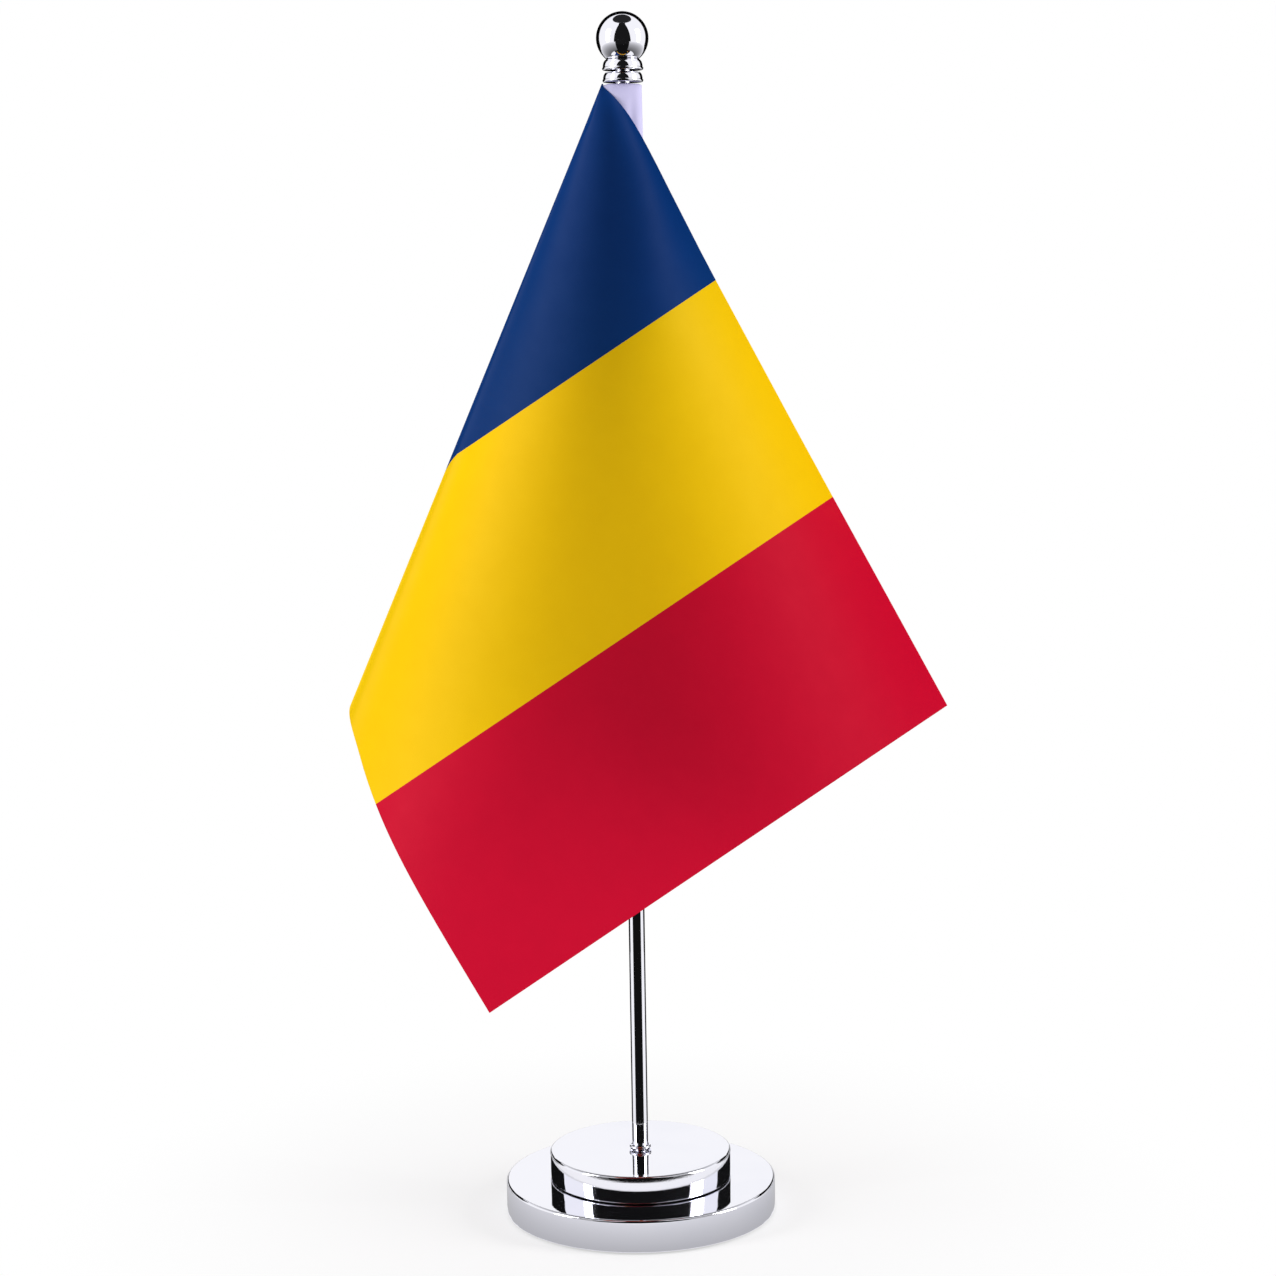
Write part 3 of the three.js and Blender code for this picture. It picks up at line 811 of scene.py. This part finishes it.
def sweep_angles(first, last, corners):
    """Angles at which a band has a line: even steps, finer in the fold, and every corner of the band."""
    plain = np.arange(0, math.pi / 2, math.radians(0.45))
    fold = np.linspace(math.radians(STRETCHES[0][0]), FOLD_END, 33)
    angles = np.unique(np.concatenate([plain, fold, [first, last, *corners]]))
    angles = angles[(angles >= first) & (angles <= last)]
    keep = np.concatenate([[True], np.diff(angles) > 2e-4])
    return angles[keep]


def swell(distance, angle):
    """How far the front of the cloth lies off its cone: one soft hollow beside the fold, a bell curve of
    the distance from the fold line. It widens towards the foot and dies away at the top edge."""
    from_fold = distance * np.sin(np.maximum(angle - FOLD_END, 0))
    centre = HOLLOW["place"] + HOLLOW["spread"] * distance
    bell = np.exp(-((from_fold - centre) / (0.65 * centre)) ** 2)
    share = np.clip((angle - FOLD_END) / (math.pi / 2 - FOLD_END), 0, 1)
    return -HOLLOW["depth"] * bell * np.clip(distance / (10 * MM), 0, 1) * (1 - share ** 6)


def settle(distance, angle):
    """How far the cloth near its top edge lies over to the right, where it clears the sleeve: it grows
    within a few millimetres of the corner, then dies away. It is nothing at the fold."""
    share = np.clip((angle - FOLD_END) / (math.pi / 2 - FOLD_END), 0, 1) ** 2
    along = (1 - np.exp(-distance / (5 * MM))) * np.exp(-distance / (55 * MM))
    return 2.9 * MM * share * along


def cloth(distance, angles):
    """Points of the cloth's middle and its face normals. distance has one row for each angle."""
    lines, faces = rolled_lines(angles)
    angle = angles[:, None]
    aside = settle(distance, angle)[..., None] * [1.0, -0.35, 0.0]
    forward_of_cone = swell(distance, angle)[..., None] * faces[:, None]
    return APEX + distance[..., None] * lines[:, None] + aside + forward_of_cone, faces


def sight_level(points):
    """How high points stand, seen from the front, above a line with the slope of the dyed edges."""
    from_eye = points - np.array(CAMERA_PLACE)
    across = np.array(up) * math.cos(EDGE_SLOPE) - np.array(right) * math.sin(EDGE_SLOPE)
    return (from_eye @ across) / (from_eye @ np.array(forward))


def edge_distances(edge, angles):
    """Distance from the apex to one edge of a band, along the lines at rising angles. In front the edge
    keeps one sight level, so it looks straight from the camera. Behind the fold it eases back to the flat
    cloth's own place."""
    if edge == 0:
        return np.zeros(len(angles))
    top = np.array([math.atan2(edge, APEX_LIFT)])
    level = sight_level(cloth(edge / np.sin(top)[:, None], top)[0])[0, 0]
    trial = np.linspace(0, LONGEST_LINE, 1361)
    front = np.maximum(angles, FOLD_END)
    levels = sight_level(cloth(np.tile(trial, (len(angles), 1)), front)[0])
    seen = np.array([np.interp(-level, -row, trial) for row in levels])
    pull = seen * np.sin(front) / edge
    ease = np.clip(angles / FOLD_END, 0, 1)
    return edge / np.sin(angles) * (1 + (pull - 1) * ease)


def corner_angle(edge):
    """The angle of the line on which an edge meets the cloth's foot."""
    angles = np.linspace(math.radians(1), math.radians(89), 2000)
    depth = edge_distances(edge, angles) * np.cos(angles)
    return float(np.interp(-FOOT, -depth, angles)) if edge else 0.0


def band_surface(edge_near, edge_far, across=90):
    """One band as a closed sheet: along each line it runs from its near edge to its far edge or the
    cloth's foot, with the two faces half a thickness either side, and a rim all round."""
    first = corner_angle(edge_near) + 2e-4
    last = math.atan2(edge_far, APEX_LIFT) - 1e-4
    angles = sweep_angles(first, last, [corner_angle(edge_far), math.atan2(edge_near, APEX_LIFT)])
    near = np.maximum(edge_distances(edge_near, angles), APEX_LIFT / np.cos(angles))
    far = np.minimum(edge_distances(edge_far, angles), FOOT / np.cos(angles))
    far = np.maximum(far, near + 0.02 * MM)
    distance = near[:, None] + (far - near)[:, None] * np.linspace(0, 1, across)
    middle, faces = cloth(distance, angles)
    half = np.minimum(CLOTH_THICKNESS / 2, 0.002 * distance)[..., None] * faces[:, None]
    flat = np.stack([distance * np.sin(angles)[:, None], distance * np.cos(angles)[:, None]], -1)
    rows, columns = distance.shape
    points = np.concatenate([(middle + half).reshape(-1, 3), (middle - half).reshape(-1, 3)])
    sheet = grid_faces(rows, columns)
    back = rows * columns
    edge = np.concatenate([
        np.arange(columns),
        np.arange(1, rows) * columns + columns - 1,
        (rows - 1) * columns + np.arange(columns - 2, -1, -1),
        np.arange(rows - 2, 0, -1) * columns,
    ])
    after = np.roll(edge, -1)
    rim = np.stack([after, edge, edge + back, after + back], -1)
    faces = sheet.tolist() + (back + sheet[:, ::-1]).tolist() + rim.tolist()
    flat = np.concatenate([flat, flat]).reshape(-1, 2)
    return points, faces, flat


BANDS = {
    "blue": ((0.0025, 0.036, 0.178), (0.0018, 0.031, 0.160)),
    "yellow": ((0.93, 0.60, 0.002), (0.89, 0.56, 0.001)),
    "red": ((0.62, 0.003, 0.030), (0.57, 0.002, 0.027)),
}
for (name, (colour, deep)), near_edge, far_edge in zip(BANDS.items(), BAND_EDGES, BAND_EDGES[1:]):
    points, faces, flat = band_surface(near_edge, far_edge)
    band = new_piece(f"{name}_band_satin", points, faces, satin(f"{name}_satin", colour, deep), sharp=60)
    lay_flat(band, flat)
    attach(band, "flag")
    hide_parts(f"flag_band_{name}")
